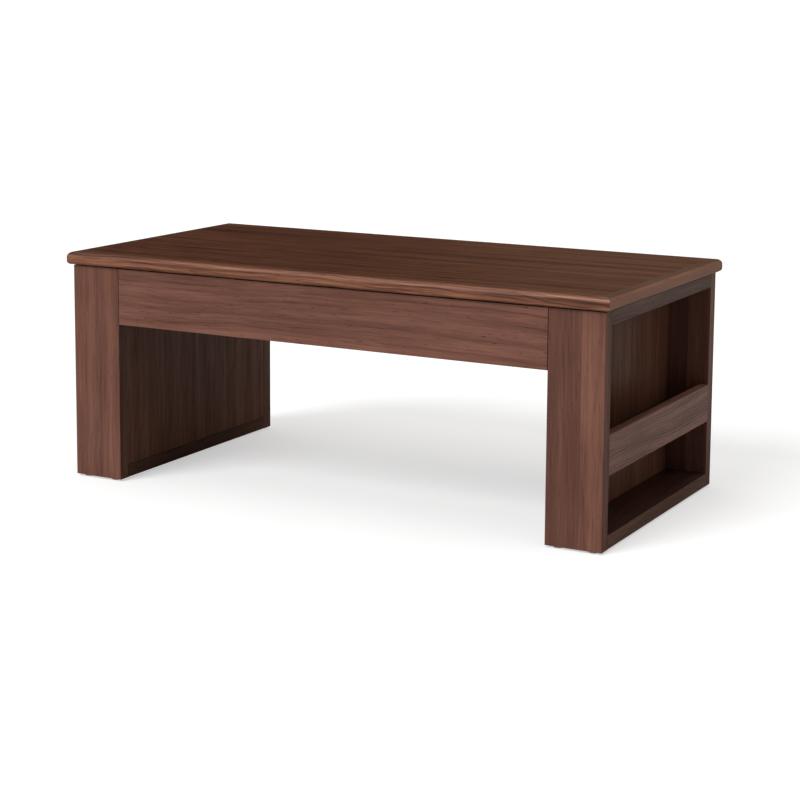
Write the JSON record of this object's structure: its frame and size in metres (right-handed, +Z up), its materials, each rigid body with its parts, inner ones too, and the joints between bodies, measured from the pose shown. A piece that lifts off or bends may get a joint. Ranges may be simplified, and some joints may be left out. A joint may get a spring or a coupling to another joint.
{
  "type": "lift top coffee table",
  "caption": "Rectangular walnut veneered coffee table whose top lifts level and forward over a shallow case, on two box legs with open book shelves in the ends.",
  "frame": {"origin": "on the floor under the middle of the table, at rest with the top down", "axes": "+X along the length to the right as seen from the front, -Y to the front where the top comes forward, +Z up"},
  "size_m": [1.2, 0.6, 0.472],
  "materials": {
    "walnut_veneer": "satin lacquered walnut veneer, straight grain",
    "walnut_lipping": "satin lacquered solid walnut edging",
    "case_lining": "matt foil faced panel",
    "beech": "sanded beech",
    "black_steel": "black powder coat",
    "zinc_steel": "bright zinc plated",
    "spring_steel": "oiled spring wire",
    "glide_plastic": "moulded nylon",
    "bumper_rubber": "matt rubber"
  },
  "bodies": {
    "case": {"left_leg_front_board": "walnut_veneer", "left_leg_back_board": "walnut_veneer", "left_leg_top_board": "walnut_veneer", "left_leg_bottom_board": "walnut_veneer", "left_leg_inner_panel": "walnut_veneer", "left_leg_shelf": "walnut_veneer", "left_leg_fence": "walnut_veneer", "left_leg_dowels": "beech", "left_leg_glides": "glide_plastic", "right_leg_front_board": "walnut_veneer", "right_leg_back_board": "walnut_veneer", "right_leg_top_board": "walnut_veneer", "right_leg_bottom_board": "walnut_veneer", "right_leg_inner_panel": "walnut_veneer", "right_leg_shelf": "walnut_veneer", "right_leg_fence": "walnut_veneer", "right_leg_dowels": "beech", "right_leg_glides": "glide_plastic", "apron_front": "walnut_veneer", "apron_back": "walnut_veneer", "case_end_left": "walnut_veneer", "case_end_right": "walnut_veneer", "case_bottom": "case_lining", "cleat_front": "beech", "cleat_back": "beech", "cleat_left": "beech", "cleat_right": "beech", "case_bolts": "zinc_steel", "bumpers": "bumper_rubber", "base_plate_left": "black_steel", "base_plate_right": "black_steel", "base_pins": "zinc_steel", "base_washers": "zinc_steel", "stop_studs": "zinc_steel", "spring_anchors": "zinc_steel", "plate_screws": "zinc_steel"},
    "rear_arms": {"rear_arm_left": "black_steel", "rear_arm_right": "black_steel", "cross_tube": "black_steel"},
    "front_arms": {"front_arm_left": "black_steel", "front_arm_right": "black_steel", "spring_studs": "zinc_steel"},
    "top": {"top_panel": "walnut_veneer", "lipping_front": "walnut_lipping", "lipping_back": "walnut_lipping", "lipping_left": "walnut_lipping", "lipping_right": "walnut_lipping", "top_bracket_left": "black_steel", "top_bracket_right": "black_steel", "bracket_pins": "zinc_steel", "bracket_washers": "zinc_steel", "bracket_screws": "zinc_steel"},
    "springs": {"spring_left": "spring_steel", "spring_right": "spring_steel"}
  },
  "joints": [
    {"name": "lift", "type": "hinge", "parent": "case", "child": "rear_arms", "pos_m": [0, -0.01, 0.38838], "axis": [1, 0, 0], "range_deg": [0, 102]},
    {"name": "front_arm_pivot", "type": "hinge", "parent": "case", "child": "front_arms", "pos_m": [0, -0.14, 0.40038], "axis": [1, 0, 0], "range_deg": [0, 102]},
    {"name": "top_pivot", "type": "hinge", "parent": "rear_arms", "child": "top", "pos_m": [0, 0.20786, 0.419], "axis": [1, 0, 0], "range_deg": [-102, 0]},
    {"name": "spring_pivot", "type": "hinge", "parent": "case", "child": "springs", "pos_m": [0, -0.24, 0.40038], "axis": [1, 0, 0], "range_deg": [0, 51], "deforming": ["spring_left", "spring_right"]}
  ],
  "couplings": [
    {"joint": "front_arm_pivot", "follows": "lift", "ratio": 1},
    {"joint": "top_pivot", "follows": "lift", "ratio": -1},
    {"joint": "spring_pivot", "follows": "lift", "ratio": 0.5}
  ]
}
